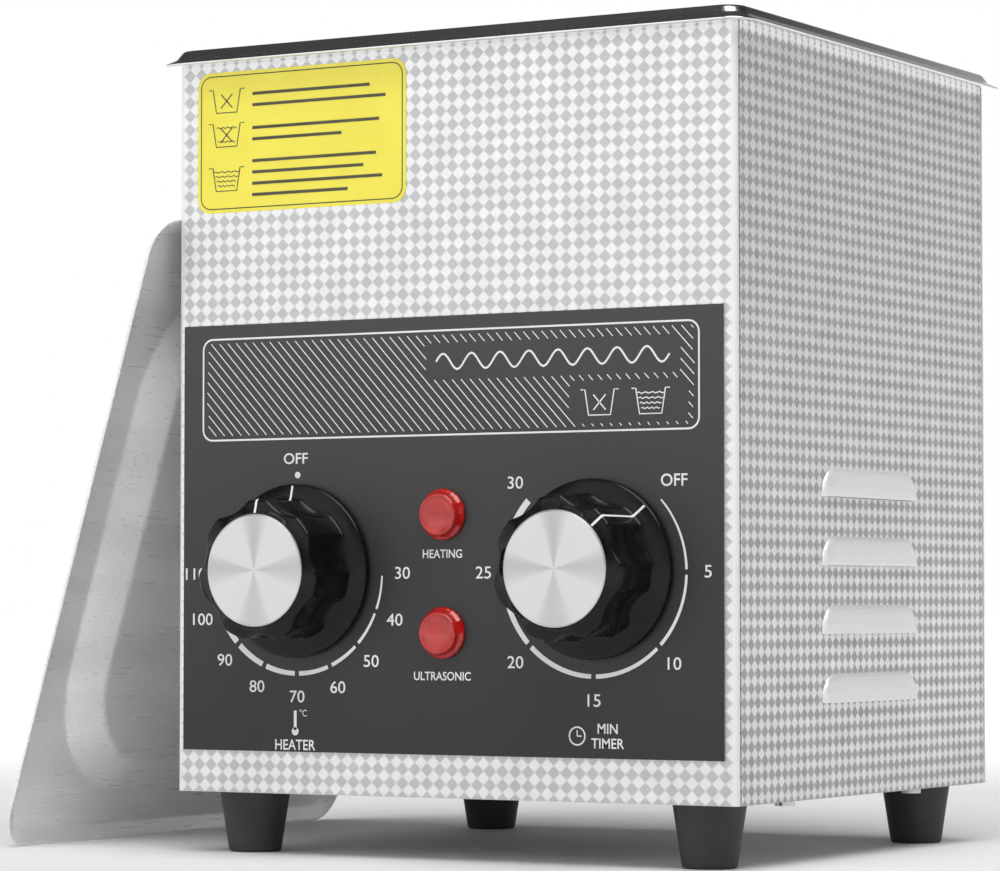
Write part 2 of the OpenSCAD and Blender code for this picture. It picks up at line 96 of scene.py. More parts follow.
def maths(tree, operation, a, b=0.0):
    """One Math node; a and b are numbers or sockets."""
    node = add(tree, "Math", operation=operation)
    for socket, value in zip(node.inputs, (a, b)):
        if isinstance(value, bpy.types.NodeSocket):
            link(tree, value, socket)
        else:
            socket.default_value = value
    return node.outputs[0]


def place(tree):
    """Separate X, Y and Z of the point, in the row frame's metres at rest."""
    coordinate = add(tree, "TexCoord")
    split = add(tree, "SeparateXYZ")
    link(tree, coordinate.outputs["Object"], split.inputs[0])
    return coordinate.outputs["Object"], split.outputs


def noise(tree, vector, scale, detail=3.0, stretch=None):
    texture = add(tree, "TexNoise")
    texture.inputs["Scale"].default_value = scale
    texture.inputs["Detail"].default_value = detail
    if stretch is not None:
        mapping = add(tree, "Mapping")
        mapping.inputs["Scale"].default_value = stretch
        link(tree, vector, mapping.inputs["Vector"])
        vector = mapping.outputs[0]
    link(tree, vector, texture.inputs["Vector"])
    return texture.outputs["Fac"]


def ramp(tree, value, low, high, out_low=0.0, out_high=1.0):
    node = add(tree, "MapRange")
    for k, v in enumerate((low, high, out_low, out_high)):
        node.inputs[k + 1].default_value = v
    link(tree, value, node.inputs[0])
    return node.outputs[0]


def blend_colours(tree, factor, a, b):
    """Mixes two colours; a and b are RGB tuples or sockets."""
    node = add(tree, "Mix", data_type="RGBA")
    link(tree, factor, node.inputs[0])
    for socket, value in ((node.inputs[6], a), (node.inputs[7], b)):
        if isinstance(value, bpy.types.NodeSocket):
            link(tree, value, socket)
        else:
            socket.default_value = (*value, 1)
    return node.outputs[2]


def bump(tree, shader, height, distance, strength=1.0):
    node = add(tree, "Bump")
    node.inputs["Strength"].default_value = strength
    node.inputs["Distance"].default_value = distance
    link(tree, height, node.inputs["Height"])
    link(tree, node.outputs[0], shader.inputs["Normal"])


def grey(v):
    return (v, v, v * 1.01)


def varied(name, low, high, rough, scale, metallic=0.0, depth=0.03 * MM, stretch=None, **sockets):
    """A material whose colour, roughness and surface vary with a noise of the right grain."""
    m, tree, shader = new_material(name)
    vector, _ = place(tree)
    grain = noise(tree, vector, scale, 4.0, stretch)
    patches = noise(tree, vector, scale / 12, 2.0)
    link(tree, blend_colours(tree, ramp(tree, patches, 0.3, 0.7), low, high), shader.inputs["Base Color"])
    link(tree, ramp(tree, grain, 0.25, 0.75, rough[0], rough[1]), shader.inputs["Roughness"])
    shader.inputs["Metallic"].default_value = metallic
    for key, value in sockets.items():
        shader.inputs[key.replace("_", " ")].default_value = value
    bump(tree, shader, grain, depth)
    return m


# ---------------------------------------------------------------- materials
DIAMOND_W = 3.85 * MM
DIAMOND_H = 3.72 * MM


def embossed_steel():
    """Sheet steel pressed with a checker of diamonds: bright raised ones between dull sunk ones."""
    m, tree, shader = new_material("embossed_steel")
    vector, (x, y, z) = place(tree)
    x = maths(tree, "SUBTRACT", x, CASING.x)
    y = maths(tree, "SUBTRACT", y, CASING.y)
    side_wall = maths(tree, "GREATER_THAN", maths(tree, "ABSOLUTE", x), HALF_W - 0.9 * MM)
    across = maths(tree, "ADD", maths(tree, "MULTIPLY", y, side_wall),
                   maths(tree, "MULTIPLY", x, maths(tree, "SUBTRACT", 1.0, side_wall)))
    waves = maths(tree, "ADD",
                  maths(tree, "COSINE", maths(tree, "MULTIPLY", across, TAU / DIAMOND_W)),
                  maths(tree, "COSINE", maths(tree, "MULTIPLY", z, TAU / DIAMOND_H)))
    raised = ramp(tree, waves, -0.35, 0.35)
    # plain where the louvres stand out of the side; the bend at each upright corner is also left plain and
    # bright as a painted highlight along the bend
    louvre = maths(tree, "GREATER_THAN", maths(tree, "ABSOLUTE", x), HALF_W + 0.06 * MM)
    near_end = maths(tree, "GREATER_THAN", maths(tree, "ABSOLUTE", y), HALF_D - 1.7 * MM)
    near_side = maths(tree, "GREATER_THAN", maths(tree, "ABSOLUTE", x), HALF_W - 1.15 * MM)
    plain = maths(tree, "MAXIMUM", louvre, maths(tree, "MULTIPLY", near_end, near_side))
    fine = noise(tree, vector, 2600, 3.0)
    cloud = noise(tree, vector, 160, 3.0)
    # painted shade: the sunk diamonds get a darker grey on the side walls (0.42) than on the front (0.54)
    dull = blend_colours(tree, side_wall, grey(0.54), grey(0.42))
    dull = blend_colours(tree, ramp(tree, cloud, 0.3, 0.7, 0.0, 0.25), dull, grey(0.75))
    bright = blend_colours(tree, ramp(tree, cloud, 0.3, 0.7), grey(0.78), grey(0.86))
    colour = blend_colours(tree, raised, dull, bright)
    # plain areas take a bright grey and less metal: real on the louvres, a painted highlight on the corner
    # bends
    link(tree, blend_colours(tree, plain, colour, grey(0.86)), shader.inputs["Base Color"])
    rough = maths(tree, "ADD", ramp(tree, raised, 0, 1, 0.48, 0.34), ramp(tree, fine, 0.3, 0.7, -0.04, 0.05))
    link(tree, rough, shader.inputs["Roughness"])
    link(tree, ramp(tree, plain, 0, 1, 0.85, 0.35), shader.inputs["Metallic"])
    relief = maths(tree, "ADD", maths(tree, "MULTIPLY", raised, maths(tree, "SUBTRACT", 1.0, plain)),
                   maths(tree, "MULTIPLY", fine, 0.12))
    bump(tree, shader, relief, 0.10 * MM, 0.7)
    return m


def polished_steel(name, tone, rough, streak, axis_stretch):
    """Stainless steel with faint drawing lines and slow clouds from polishing."""
    m, tree, shader = new_material(name)
    vector, _ = place(tree)
    lines = noise(tree, vector, 900, 4.0, axis_stretch)
    cloud = noise(tree, vector, 22, 2.0)
    link(tree, blend_colours(tree, ramp(tree, cloud, 0.3, 0.7), grey(tone - 0.03), grey(tone + 0.02)),
         shader.inputs["Base Color"])
    link(tree, maths(tree, "ADD", ramp(tree, lines, 0.3, 0.7, rough, rough + streak),
                     ramp(tree, cloud, 0.3, 0.7, 0.0, 0.03)), shader.inputs["Roughness"])
    shader.inputs["Metallic"].default_value = 1.0
    bump(tree, shader, lines, 0.004 * MM, 0.5)
    return m


def banded_steel():
    """The lid's bright sheet: brushed across, lighter and darker in soft level bands."""
    m, tree, shader = new_material("lid_steel")
    vector, _ = place(tree)
    lines = noise(tree, vector, 900, 4.0, (1, 0.05, 1))
    bands = noise(tree, vector, 24, 2.0, (0.25, 0.12, 2.0))
    link(tree, blend_colours(tree, ramp(tree, bands, 0.36, 0.64), grey(0.84), grey(1.0)),
         shader.inputs["Base Color"])
    link(tree, ramp(tree, lines, 0.3, 0.7, 0.26, 0.34), shader.inputs["Roughness"])
    shader.inputs["Metallic"].default_value = 0.3
    bump(tree, shader, lines, 0.001 * MM, 0.15)
    return m


def spun_aluminium(name, centre):
    """Face turned disc: fine rings, and a painted reflection: light and dark sectors standing in for the
    sheen of the turned face.
    """
    m, tree, shader = new_material(name)
    vector, (x, y, z) = place(tree)
    dx = maths(tree, "SUBTRACT", x, centre.x)
    dz = maths(tree, "SUBTRACT", z, centre.z)
    radius = maths(tree, "SQRT", maths(tree, "ADD", maths(tree, "MULTIPLY", dx, dx),
                                       maths(tree, "MULTIPLY", dz, dz)))
    angle = maths(tree, "ARCTAN2", dz, dx)
    # painted reflection: four light and four dark sectors of sheen put into the base colour, with a faint
    # ninefold ripple
    painted_sheen_fan = maths(tree, "COSINE", maths(tree, "MULTIPLY", angle, 4.0))
    fine_painted_sheen_fan = maths(tree, "COSINE", maths(tree, "MULTIPLY", maths(tree, "ADD", angle, 0.5), 9.0))
    rings = maths(tree, "SINE", maths(tree, "MULTIPLY", radius, TAU / (0.22 * MM)))
    painted_sheen = ramp(tree, maths(tree, "ADD", painted_sheen_fan, maths(tree, "MULTIPLY", fine_painted_sheen_fan, 0.15)), 0.1, 1.15)
    link(tree, blend_colours(tree, painted_sheen, grey(0.68), grey(0.50)), shader.inputs["Base Color"])
    link(tree, ramp(tree, rings, -1, 1, 0.30, 0.38), shader.inputs["Roughness"])
    shader.inputs["Metallic"].default_value = 0.9
    shader.inputs["Anisotropic"].default_value = 0.6
    bump(tree, shader, rings, 0.006 * MM, 0.5)
    return m


def panel_film():
    """Satin dark film, with painted light making it a little lighter at its top."""
    m, tree, shader = new_material("panel_film")
    vector, (x, y, z) = place(tree)
    # painted light: the film's colour grows lighter from the bottom of the panel to its top
    height = ramp(tree, z, panel_low.z, panel_high.z)
    grain = noise(tree, vector, 1800, 4.0)
    link(tree, blend_colours(tree, height, (0.016, 0.016, 0.0165), (0.042, 0.042, 0.043)),
         shader.inputs["Base Color"])
    link(tree, ramp(tree, grain, 0.3, 0.7, 0.38, 0.5), shader.inputs["Roughness"])
    bump(tree, shader, grain, 0.012 * MM, 0.5)
    return m


def lamp_red():
    """Clear red moulding with a slight cloud in its colour."""
    m, tree, shader = new_material("lamp_red")
    vector, _ = place(tree)
    cloud = noise(tree, vector, 260, 2.0)
    link(tree, blend_colours(tree, ramp(tree, cloud, 0.3, 0.7), (0.50, 0.004, 0.003), (0.72, 0.022, 0.016)),
         shader.inputs["Base Color"])
    link(tree, ramp(tree, cloud, 0.3, 0.7, 0.10, 0.16), shader.inputs["Roughness"])
    shader.inputs["Transmission Weight"].default_value = 0.25
    shader.inputs["Coat Weight"].default_value = 0.6
    shader.inputs["Subsurface Weight"].default_value = 0.2
    shader.inputs["Subsurface Scale"].default_value = 2 * MM
    bump(tree, shader, cloud, 0.02 * MM, 0.3)
    return m


DARK_PLASTIC = ((0.012, 0.012, 0.013), (0.020, 0.020, 0.022))
materials = {
    "embossed_steel": embossed_steel(),
    "plain_steel": varied("plain_steel", grey(0.62), grey(0.70), (0.30, 0.42), 900, 1.0, 0.01 * MM),
    "tank_steel": polished_steel("tank_steel", 0.80, 0.12, 0.10, (1, 1, 14)),
    "silicone": varied("silicone", (0.74, 0.74, 0.72), (0.82, 0.82, 0.80), (0.5, 0.65), 700),
    "silicone_orange": varied("silicone_orange", (0.62, 0.22, 0.06), (0.72, 0.28, 0.09), (0.5, 0.65), 700),
    "panel_film": panel_film(),
    "yellow_film": varied("yellow_film", (0.86, 0.76, 0.070), (0.91, 0.81, 0.085), (0.30, 0.40), 900,
                          0.0, 0.005 * MM),
    "zinc_screw": varied("zinc_screw", grey(0.60), grey(0.70), (0.22, 0.36), 1200, 1.0, 0.006 * MM),
    "knob_black": varied("knob_black", (0.003, 0.003, 0.003), (0.006, 0.006, 0.006), (0.20, 0.30), 1500, 0.0,
                         0.008 * MM, Specular_IOR_Level=0.26),
    "control_housing": varied("control_housing", (0.62, 0.59, 0.50), (0.70, 0.67, 0.58), (0.45, 0.6), 900),
    "copper": varied("copper", (0.66, 0.36, 0.22), (0.75, 0.44, 0.28), (0.2, 0.4), 700, 1.0),
    "lamp_red": lamp_red(),
    "lamp_holder": varied("lamp_holder", grey(0.74), grey(0.82), (0.4, 0.55), 900),
    "cast_aluminium": varied("cast_aluminium", grey(0.58), grey(0.68), (0.3, 0.5), 800, 1.0),
    "piezo_ceramic": varied("piezo_ceramic", grey(0.26), grey(0.34), (0.55, 0.7), 900),
    "circuit_board": varied("circuit_board", (0.02, 0.16, 0.07), (0.03, 0.21, 0.09), (0.25, 0.35), 700),
    "brass": varied("brass", (0.66, 0.50, 0.22), (0.74, 0.58, 0.28), (0.22, 0.34), 900, 1.0),
    "black_resin": varied("black_resin", *DARK_PLASTIC, (0.45, 0.6), 1100),
    "red_resin": varied("red_resin", (0.38, 0.04, 0.03), (0.46, 0.06, 0.04), (0.2, 0.3), 500),
    "wire_cover": varied("wire_cover", (0.30, 0.08, 0.05), (0.38, 0.11, 0.07), (0.4, 0.55), 900),
    "foot_rubber": varied("foot_rubber", (0.024, 0.024, 0.025), (0.034, 0.034, 0.035), (0.50, 0.66), 1300,
                          0.0, 0.03 * MM),
    "handle_plastic": varied("handle_plastic", *DARK_PLASTIC, (0.36, 0.5), 1100),
}
materials["lid_steel"] = banded_steel()
materials["heater_cap"] = spun_aluminium("heater_cap", HEATER)
materials["timer_cap"] = spun_aluminium("timer_cap", TIMER)
white_ink = varied("white_ink", grey(0.78), grey(0.84), (0.45, 0.6), 1500, 0.0, 0.004 * MM)
dark_ink = varied("dark_ink", (0.06, 0.055, 0.03), (0.09, 0.085, 0.05), (0.45, 0.6), 1500, 0.0, 0.004 * MM)


def paint(obj, material):
    obj.data.materials.clear()
    obj.data.materials.append(material)


CAP_OF = {"heater_knob_cap": "heater_cap", "timer_knob_cap": "timer_cap"}
for part in frame["record"]["subparts"]:
    name = part["node"]
    paint(nodes[name], materials[CAP_OF.get(name, part["material_slot"])])


# ---------------------------------------------------------------- mesh helpers
def mesh_piece(name, points, faces, material, body, smooth=False):
    """A new piece from points and faces, riding on a CAD body."""
    mesh = bpy.data.meshes.new(name)
    mesh.from_pydata([tuple(p) for p in points], [], faces)
    mesh.validate()
    mesh.update()
    obj = bpy.data.objects.new(name, mesh)
    bpy.context.scene.collection.objects.link(obj)
    mesh.materials.append(material)
    if smooth:
        mesh.polygons.foreach_set("use_smooth", [True] * len(mesh.polygons))
    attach(obj, body)
    return obj


def rounded(w, d, r, steps=10):
    """Points of a rectangle w by d with corners of radius r, anticlockwise."""
    out = []
    for k, (sx, sy) in enumerate(((1, 1), (-1, 1), (-1, -1), (1, -1))):
        for i in range(steps + 1):
            a = (k + i / steps) * math.pi / 2
            out.append((sx * (w / 2 - r) + r * math.cos(a), sy * (d / 2 - r) + r * math.sin(a)))
    return out


def loft(rings):
    """Points and faces of a closed surface through rings that have the same number of points."""
    n = len(rings[0])
    points = [p for ring in rings for p in ring]
    faces = []
    last = (len(rings) - 1) * n
    for a in range(0, last, n):
        for k in range(n):
            faces.append((a + k, a + (k + 1) % n, a + n + (k + 1) % n, a + n + k))
    faces.append(tuple(range(n - 1, -1, -1)))
    faces.append(tuple(last + k for k in range(n)))
    return points, faces


def flatten_caps(obj):
    """Shades a loft's two end faces flat, so they don't bend the smooth shading beside them."""
    for polygon in obj.data.polygons:
        if len(polygon.vertices) > 4:
            polygon.use_smooth = False


# ---------------------------------------------------------------- printing
NO_AREA = 1e-6  # slivers in the font's own mesh, at a type size of 1, are smaller than this


class Print:
    """Flat ink shapes in a plane that faces -Y, gathered into one piece."""

    def __init__(self, y):
        self.y, self.points, self.faces = y, [], []

    def strip(self, path, widths, closed=False):
        """A line of given width along points (x, z); widths is a number or one for each point."""
        count = len(path)
        if not isinstance(widths, (list, tuple)):
            widths = [widths] * count
        first = len(self.points)
        for i, (x, z) in enumerate(path):
            before = path[(i - 1) % count] if closed or i else path[0]
            after = path[(i + 1) % count] if closed or i < count - 1 else path[-1]
            run = Vector((after[0] - before[0], after[1] - before[1])).normalized()
            side = Vector((-run.y, run.x)) * widths[i] / 2
            self.points += [(x + side.x, self.y, z + side.y), (x - side.x, self.y, z - side.y)]
        for i in range(count if closed else count - 1):
            a, b = first + 2 * i, first + 2 * ((i + 1) % count)
            self.faces.append((a, b, b + 1, a + 1))

    def polygon(self, outline):
        first = len(self.points)
        self.points += [(x, self.y, z) for x, z in outline]
        self.faces.append(tuple(range(first, first + len(outline))))

    def disc(self, x, z, r):
        self.polygon([(x + r * math.cos(TAU * k / 24), z + r * math.sin(TAU * k / 24)) for k in range(24)])

    def arc(self, x, z, r, start, end, w_start, w_end):
        """Arc from start to end in degrees clockwise from up, growing from one width to another."""
        steps = max(2, int(abs(end - start) / 3))
        turns = [math.radians(start + (end - start) * k / steps) for k in range(steps + 1)]
        self.strip([(x + r * math.sin(t), z + r * math.cos(t)) for t in turns],
                   [w_start + (w_end - w_start) * k / steps for k in range(steps + 1)])

    def words(self, text, x, z, height, squeeze=1.0, weight=0.0):
        """Generic dial lettering with its middle at (x, z) and capitals of that height."""
        curve = bpy.data.curves.new("words", "FONT")
        curve.body, curve.size, curve.offset = text, 1.0, weight
        curve.resolution_u = 4
        holder = bpy.data.objects.new("words", curve)
        mesh = holder.to_mesh()
        corners = [v.co for v in mesh.vertices]
        low = [min(c[i] for c in corners) for i in (0, 1)]
        high = [max(c[i] for c in corners) for i in (0, 1)]
        k = height / (high[1] - low[1])
        first = len(self.points)
        self.points += [(x + (c.x - (low[0] + high[0]) / 2) * k * squeeze, self.y,
                         z + (c.y - (low[1] + high[1]) / 2) * k) for c in corners]
        self.faces += [tuple(first + v for v in p.vertices) for p in mesh.polygons if p.area > NO_AREA]
        holder.to_mesh_clear()
        bpy.data.objects.remove(holder)
        bpy.data.curves.remove(curve)

    def tub(self, x, z, w, h, line, waves=0, crossed=False):
        """Small picture of a tank, with wave lines or a cross in it."""
        self.strip([(x - w * 0.62, z + h / 2), (x - w * 0.48, z + h / 2), (x - w * 0.36, z - h / 2),
                    (x + w * 0.36, z - h / 2), (x + w * 0.48, z + h / 2), (x + w * 0.62, z + h / 2)], line)
        for k in range(waves):
            level = z - h * 0.28 + h * 0.6 * k / max(1, waves - 1)
            reach = w * (0.30 + 0.05 * k)
            self.strip([(x + reach * (2 * i / 12 - 1), level + 0.035 * h * math.sin(i * math.pi / 1.5))
                        for i in range(13)], line * 0.8)
        if crossed:
            for s in (-1, 1):
                self.strip([(x - s * w * 0.2, z - h * 0.3), (x + s * w * 0.2, z + h * 0.3)], line)

    def piece(self, name, material):
        return mesh_piece(name, self.points, self.faces, material, "cleaner")


PRINT_DROP = 0.7 * MM  # the scales are printed this far below the spindles


def outline_box(left, right, low, high, radius, steps=6):
    return [(x + (left + right) / 2, z + (low + high) / 2)
            for x, z in rounded(right - left, high - low, radius, steps)]


def panel_print():
    """Hatched title field, both dial scales and the generic words beside the lamps."""
    ink = Print(PANEL_Y - INK_LIFT)
    box = dict(left=PANEL_X - 76.8 * MM, right=PANEL_X + 76.5 * MM, low=112.8 * MM, high=140.5 * MM)
    ink.strip(outline_box(**box, radius=3 * MM), 0.5 * MM, closed=True)
    pitch, inset, rise = 2.75 * MM, 1.2 * MM, box["high"] - box["low"]
    fields = ((PANEL_X - 5 * MM, PANEL_X + 71 * MM, 127.6 * MM, 136.8 * MM),
              (PANEL_X + 39 * MM, PANEL_X + 73 * MM, 115.4 * MM, 125.8 * MM))

    def blank(x, z):
        return any(a < x < b and c < z < d for a, b, c, d in fields)

    start = box["left"] - rise
    while start < box["right"]:
        run = []
        steps = 36
        for i in range(steps + 1):
            x = start + (rise - 2 * inset) * 0.94 * i / steps
            z = box["high"] - inset - (rise - 2 * inset) * i / steps
            inside = box["left"] + inset < x < box["right"] - inset
            if inside and not blank(x, z):
                run.append((x, z))
            else:
                if len(run) > 1:
                    ink.strip([run[0], run[-1]], 0.26 * MM)
                run = []
        if len(run) > 1:
            ink.strip([run[0], run[-1]], 0.26 * MM)
        start += pitch
    waves, wide = 96, 70 * MM
    ink.strip([(PANEL_X - 2 * MM + wide * i / waves, 132.2 * MM + 2.1 * MM * math.sin(i * TAU / 12))
               for i in range(waves + 1)], 0.55 * MM)
    ink.tub(PANEL_X + 47.5 * MM, 120.2 * MM, 9 * MM, 6.6 * MM, 0.38 * MM, crossed=True)
    ink.tub(PANEL_X + 62.5 * MM, 120.2 * MM, 9 * MM, 6.6 * MM, 0.38 * MM, waves=4)

    # heater scale: a mark every ten degrees, evenly spaced from 90 to about 270
    x, z = HEATER.x, HEATER.z - PRINT_DROP
    ink.words("OFF", x - 0.6 * MM, z + 31.1 * MM, 3.0 * MM, 1.1, 0.012)
    ink.disc(x, z + 26.6 * MM, 0.9 * MM)
    marks = [90, 112, 135, 157, 180, 203, 225, 248, 270]
    for k, turn in enumerate(marks):
        t = math.radians(turn)
        ink.words(str(30 + 10 * k), x + 33.4 * MM * math.sin(t), z + 33.2 * MM * math.cos(t),
                  3.25 * MM, 1.12, 0.006)
    for k in range(len(marks) - 1):
        w = 0.5 * MM + 0.19 * MM * k
        ink.arc(x, z, 27.0 * MM, marks[k] + 1.6, marks[k + 1] - 1.2, w, w + 0.19 * MM)
    thermo = x - 0.6 * MM
    ink.strip([(thermo, z - 37 * MM), (thermo, z - 42.2 * MM)], 0.9 * MM)
    ink.disc(thermo, z - 42.6 * MM, 1.1 * MM)
    ink.words("°C", thermo + 2.6 * MM, z - 37.6 * MM, 1.9 * MM, 0.9)
    ink.words("HEATER", thermo, z - 46.2 * MM, 2.8 * MM, 0.92, 0.012)

    # timer scale: five minutes every 45 degrees
    x, z = TIMER.x, TIMER.z - PRINT_DROP
    marks = [45 + 45 * k for k in range(7)]
    for k, turn in enumerate(marks):
        t = math.radians(turn)
        ink.words("OFF" if k == 0 else str(5 * k), x + 33.2 * MM * math.sin(t), z + 33.2 * MM * math.cos(t),
                  3.25 * MM, 1.0 if k == 0 else 1.12, 0.012 if k == 0 else 0.006)
    for k in range(len(marks) - 1):
        w = 0.5 * MM + 0.22 * MM * k
        ink.arc(x, z, 27.0 * MM, marks[k] + 1.8, marks[k + 1] - 1.2, w, w + 0.22 * MM)
    clock_x, clock_z = x - 5 * MM, z - 42.4 * MM
    ink.strip([(clock_x + 2.3 * MM * math.cos(TAU * k / 32), clock_z + 2.3 * MM * math.sin(TAU * k / 32))
               for k in range(32)], 0.42 * MM, closed=True)
    ink.strip([(clock_x, clock_z + 1.5 * MM), (clock_x, clock_z), (clock_x + 1.3 * MM, clock_z)], 0.36 * MM)
    ink.words("MIN", x + 4 * MM, z - 40.4 * MM, 2.6 * MM, 0.95, 0.012)
    ink.words("TIMER", x + 4 * MM, z - 44.2 * MM, 2.6 * MM, 0.95, 0.012)
    ink.words("HEATING", PANEL_X, 81.3 * MM, 2.3 * MM, 0.92, 0.012)
    ink.words("ULTRASONIC", PANEL_X, 49.0 * MM, 2.3 * MM, 0.92, 0.012)
    return ink.piece("panel_print", white_ink)


def label_print():
    """Border, three small pictures and plain bars where lines of wording would be."""
    ink = Print(LABEL_Y - INK_LIFT)
    left, right, low, high = label_low.x, label_high.x, label_low.z, label_high.z
    edge = 1.1 * MM
    border = outline_box(left + edge, right - edge, low + edge, high - edge, 3.2 * MM)
    ink.strip(border, 0.3 * MM, closed=True)
    rows = ((high - 8.0 * MM, 2, dict(crossed=True)), (high - 17.4 * MM, 2, dict(waves=2, crossed=True)),
            (high - 29.6 * MM, 4, dict(waves=4)))
    lengths = ((38, 43), (41, 29), (40, 36, 42, 31))
    for (z, lines, art), spans in zip(rows, lengths):
        ink.tub(left + 9.5 * MM, z, 9.4 * MM, 6.4 * MM, 0.34 * MM, **art)
        for k, span in enumerate(spans):
            level = z + (lines - 1) * 1.55 * MM - k * 3.1 * MM
            start = left + 18 * MM
            ink.strip([(start, level), (start + span * MM, level)], 0.85 * MM)
    return ink.piece("label_print", dark_ink)


panel_print()
label_print()


# ---------------------------------------------------------------- knobs
KNOB_LOBES = 7
FLUTE_DEEP = 1.75 * MM
FLUTE_SHARE = 0.64  # how much of each lobe's turn is flute; the rest is a plain land


def lobe(angle):
    """How deep the flute is at this angle from the pointer, from 0 on a land to 1 in mid flute."""
    phase = (angle * KNOB_LOBES / TAU) % 1.0
    away = abs(phase - 0.5) * 2
    return max(0.0, 1 - (away / FLUTE_SHARE) ** 2)


def dial_frame(centre, turn):
    """Maps knob space (x right, y along the pointer, z out of the panel) to the row frame."""
    return (Matrix.Translation((centre.x, FRONT_Y, centre.z)) @ Matrix.Rotation(math.radians(turn), 4, "Y")
            @ Matrix.Rotation(math.pi / 2, 4, "X"))


def knob(name, centre, turn, body):
    """Fluted grip and wide skirt as one smooth turned and cut shape."""
    count = 252
    profile = [  # radius, height above the front sheet, share of the flute cut
        (9.0, 3.0, 0), (9.0, 0.8, 0), (22.6, 0.8, 0), (23.1, 0.92, 0), (23.4, 1.4, 0), (23.4, 2.5, 0),
        (23.25, 2.85, 0), (22.9, 3.1, 0), (20.5, 3.75, 0), (19.7, 3.95, 0), (19.1, 4.25, 0.25),
        (18.9, 4.8, 1), (18.9, 12, 1), (18.9, 19.6, 1), (18.75, 20.15, 1), (18.4, 20.45, 1),
        (17.8, 20.62, 0.8), (15.5, 21.22, 0.25), (15.2, 21.4, 0), (15.05, 21.35, 0), (15.0, 20.5, 0)]
    rings = []
    place_at = dial_frame(centre, turn)
    for r, h, cut in profile:
        ring = []
        for k in range(count):
            a = TAU * k / count
            here = r * MM - FLUTE_DEEP * cut * lobe(a)
            ring.append(place_at @ Vector((here * math.sin(a), here * math.cos(a), h * MM)))
        rings.append(ring)
    points, faces = loft(rings)
    obj = mesh_piece(name, points, [tuple(reversed(f)) for f in faces], materials["knob_black"], body,
                     smooth=True)
    flatten_caps(obj)
    return obj


def pointer(name, centre, turn, body):
    """White line that runs over the front ring, down the grip and across the skirt."""
    half, lift = 0.33 * MM, 0.05 * MM
    path = [(15.25, 21.36), (15.5, 21.24), (17.8, 20.64), (18.4, 20.47), (18.75, 20.17), (18.9, 19.6),
            (18.9, 4.8), (19.1, 4.25), (19.7, 3.95), (20.5, 3.75), (22.9, 3.1)]
    place_at = dial_frame(centre, turn)
    points, faces = [], []
    for i, (r, h) in enumerate(path):
        near = path[max(i - 1, 0)], path[min(i + 1, len(path) - 1)]
        run = Vector((near[1][0] - near[0][0], near[1][1] - near[0][1])).normalized()
        out = Vector((-run.y, run.x)) * (lift / MM)
        for s in (-1, 1):
            points.append(place_at @ Vector((s * half, (r + abs(out.x)) * MM, (h + abs(out.y)) * MM)))
    for i in range(len(path) - 1):
        faces.append((2 * i, 2 * i + 1, 2 * i + 3, 2 * i + 2))
    return mesh_piece(name, points, faces, white_ink, body)


for side, centre, turn in (("heater", HEATER, 0), ("timer", TIMER, TIMER_REST)):
    body = side + "_dial"
    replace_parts(knob(side + "_grip", centre, turn, body), side + "_knob")
    pointer(side + "_pointer", centre, turn, body)


# ---------------------------------------------------------------- lamps
def lamp(name, node):
    """Moulded red lens: a faceted flange, a waist and a domed top with a bright edge."""
    low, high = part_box(node)
    cx, cz = (low.x + high.x) / 2, (low.z + high.z) / 2
    count, facets = 96, 24
    profile = [  # radius, height above the panel, share of the facets
        (6.6, 0.02, 0), (6.88, 0.12, 1), (6.88, 0.8, 1), (6.5, 1.25, 1), (5.95, 1.7, 0.6),
        (5.72, 2.6, 0.3), (5.62, 3.1, 0), (5.5, 3.42, 0), (5.25, 3.6, 0), (4.9, 3.62, 0),
        (4.6, 3.5, 0), (4.4, 3.38, 0), (3.4, 3.46, 0), (2.0, 3.55, 0), (0.6, 3.6, 0)]
    rings = []
    for r, h, cut in profile:
        ring = []
        for k in range(count):
            a = TAU * k / count
            ridge = 0.12 * cut * (0.5 - 0.5 * math.cos(a * facets))
            here = (r - ridge) * MM
            ring.append(Vector((cx + here * math.cos(a), PANEL_Y - h * MM, cz + here * math.sin(a))))
        rings.append(ring)
    points, faces = loft(rings)
    return mesh_piece(name, points, faces, materials["lamp_red"], "cleaner", smooth=True)


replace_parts(lamp("heating_lamp", "heating_lamp_lens"), "heating_lamp_lens")
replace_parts(lamp("ultrasonic_lamp", "ultrasonic_lamp_lens"), "ultrasonic_lamp_lens")


# ---------------------------------------------------------------- tank and rim
CORNER_STEPS = 12


